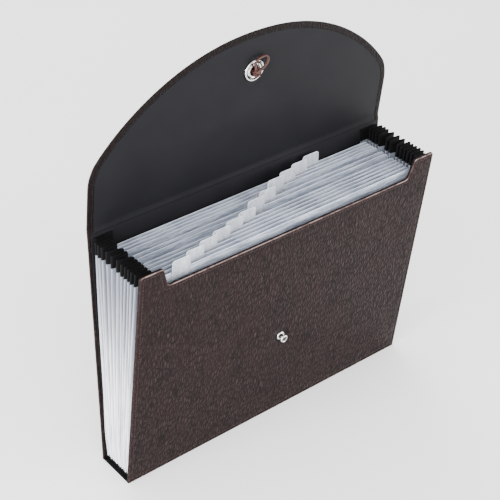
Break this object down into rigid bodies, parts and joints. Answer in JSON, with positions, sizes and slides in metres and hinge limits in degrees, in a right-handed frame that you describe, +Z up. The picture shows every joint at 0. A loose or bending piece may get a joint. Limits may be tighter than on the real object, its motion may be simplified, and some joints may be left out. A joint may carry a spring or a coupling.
{
  "type": "expanding file folder",
  "caption": "Accordion file with leather covers, pleated side gussets, tabbed dividers and a flap that closes with an elastic cord and stud.",
  "frame": {"origin": "middle of the flat bottom face", "axes": "+X along the width to the right of the front cover, -Y towards the front cover, +Z up"},
  "size_m": [0.33, 0.0787, 0.3823],
  "materials": {
    "leather": "pebbled dark brown",
    "board": "grey pressed board",
    "lining": "charcoal woven lining",
    "black": "black binding tape",
    "film": "frosted translucent sheet",
    "clear": "clear sheet",
    "chrome": "polished",
    "cord": "braided brown elastic"
  },
  "bodies": {
    "base": {"base_strip": "black", "base_board": "board", "pocket_floor": "film", "divider_06": "film", "tab_06": "clear", "gusset_film_left": "film", "gusset_film_right": "film", "gusset_tape_left": "black", "gusset_tape_right": "black"},
    "front": {"front_leather": "leather", "front_board": "board", "front_lining": "lining", "stud_base": "chrome", "stud_neck": "chrome", "stud_cap": "chrome", "stud_washer": "chrome"},
    "back": {"back_leather": "leather", "back_board": "board", "back_lining": "lining"},
    "bridge": {"bridge_leather": "leather", "bridge_lining": "lining"},
    "tongue": {"tongue_leather": "leather", "tongue_lining": "lining", "eyelet_ring": "chrome", "eyelet_washer": "chrome"},
    "cord": {"elastic_loop": "cord", "loop_knot": "cord"},
    "leaf_01": {"divider_01": "film", "tab_01": "clear"},
    "leaf_02": {"divider_02": "film", "tab_02": "clear"},
    "leaf_03": {"divider_03": "film", "tab_03": "clear"},
    "leaf_04": {"divider_04": "film", "tab_04": "clear"},
    "leaf_05": {"divider_05": "film", "tab_05": "clear"},
    "leaf_07": {"divider_07": "film", "tab_07": "clear"},
    "leaf_08": {"divider_08": "film", "tab_08": "clear"},
    "leaf_09": {"divider_09": "film", "tab_09": "clear"},
    "leaf_10": {"divider_10": "film", "tab_10": "clear"},
    "leaf_11": {"divider_11": "film", "tab_11": "clear"},
    "leaf_12": {"divider_12": "film", "tab_12": "clear"}
  },
  "joints": [
    {"name": "expand", "type": "hinge", "parent": "base", "child": "front", "pos_m": [0, -0.0189, 0.0016], "axis": [1, 0, 0], "range_deg": [-4.39, 0], "deforming": ["gusset_film_left", "gusset_film_right", "gusset_tape_left", "gusset_tape_right"]},
    {"name": "back_lean", "type": "hinge", "parent": "base", "child": "back", "pos_m": [0, 0.0189, 0.0016], "axis": [1, 0, 0], "range_deg": [-0.02, 4.03]},
    {"name": "leaf_01_lean", "type": "hinge", "parent": "base", "child": "leaf_01", "pos_m": [0, 0.01464, 0.0044], "axis": [1, 0, 0], "range_deg": [-0.02, 3.64]},
    {"name": "leaf_02_lean", "type": "hinge", "parent": "base", "child": "leaf_02", "pos_m": [0, 0.01198, 0.0044], "axis": [1, 0, 0], "range_deg": [-0.02, 3.25]},
    {"name": "leaf_03_lean", "type": "hinge", "parent": "base", "child": "leaf_03", "pos_m": [0, 0.00932, 0.0044], "axis": [1, 0, 0], "range_deg": [-0.02, 2.86]},
    {"name": "leaf_04_lean", "type": "hinge", "parent": "base", "child": "leaf_04", "pos_m": [0, 0.00665, 0.0044], "axis": [1, 0, 0], "range_deg": [-0.02, 2.41]},
    {"name": "leaf_05_lean", "type": "hinge", "parent": "base", "child": "leaf_05", "pos_m": [0, 0.00399, 0.0044], "axis": [1, 0, 0], "range_deg": [-0.02, 0.731]},
    {"name": "leaf_07_lean", "type": "hinge", "parent": "base", "child": "leaf_07", "pos_m": [0, -0.00133, 0.0044], "axis": [1, 0, 0], "range_deg": [-1.57, 0.02]},
    {"name": "leaf_08_lean", "type": "hinge", "parent": "base", "child": "leaf_08", "pos_m": [0, -0.00399, 0.0044], "axis": [1, 0, 0], "range_deg": [-2.02, 0.02]},
    {"name": "leaf_09_lean", "type": "hinge", "parent": "base", "child": "leaf_09", "pos_m": [0, -0.00665, 0.0044], "axis": [1, 0, 0], "range_deg": [-2.48, 0.02]},
    {"name": "leaf_10_lean", "type": "hinge", "parent": "base", "child": "leaf_10", "pos_m": [0, -0.00932, 0.0044], "axis": [1, 0, 0], "range_deg": [-2.93, 0.02]},
    {"name": "leaf_11_lean", "type": "hinge", "parent": "base", "child": "leaf_11", "pos_m": [0, -0.01198, 0.0044], "axis": [1, 0, 0], "range_deg": [-3.41, 0.02]},
    {"name": "leaf_12_lean", "type": "hinge", "parent": "base", "child": "leaf_12", "pos_m": [0, -0.01464, 0.0044], "axis": [1, 0, 0], "range_deg": [-3.9, 0.02]},
    {"name": "flap_fold", "type": "hinge", "parent": "back", "child": "bridge", "pos_m": [0, 0.03642, 0.24317], "axis": [1, 0, 0], "range_deg": [-140, 82]},
    {"name": "tongue_fold", "type": "hinge", "parent": "bridge", "child": "tongue", "pos_m": [0, 0.0307, 0.32497], "axis": [1, 0, 0], "range_deg": [0, 92]},
    {"name": "loop_swing", "type": "hinge", "parent": "tongue", "child": "cord", "pos_m": [0, 0.0293, 0.34492], "axis": [0, -0.9976, -0.0698], "range_deg": [-0.5, 180.5]}
  ],
  "couplings": [
    {"joint": "back_lean", "follows": "expand", "ratio": -0.91177},
    {"joint": "leaf_01_lean", "follows": "expand", "ratio": -0.82353},
    {"joint": "leaf_02_lean", "follows": "expand", "ratio": -0.73529},
    {"joint": "leaf_03_lean", "follows": "expand", "ratio": -0.64706},
    {"joint": "leaf_04_lean", "follows": "expand", "ratio": -0.54412},
    {"joint": "leaf_05_lean", "follows": "expand", "ratio": -0.16176},
    {"joint": "leaf_07_lean", "follows": "expand", "ratio": 0.35294},
    {"joint": "leaf_08_lean", "follows": "expand", "ratio": 0.45588},
    {"joint": "leaf_09_lean", "follows": "expand", "ratio": 0.55882},
    {"joint": "leaf_10_lean", "follows": "expand", "ratio": 0.66177},
    {"joint": "leaf_11_lean", "follows": "expand", "ratio": 0.77206},
    {"joint": "leaf_12_lean", "follows": "expand", "ratio": 0.88235},
    {"joint": "loop_swing", "follows": "tongue_fold", "ratio": 1.9565}
  ]
}
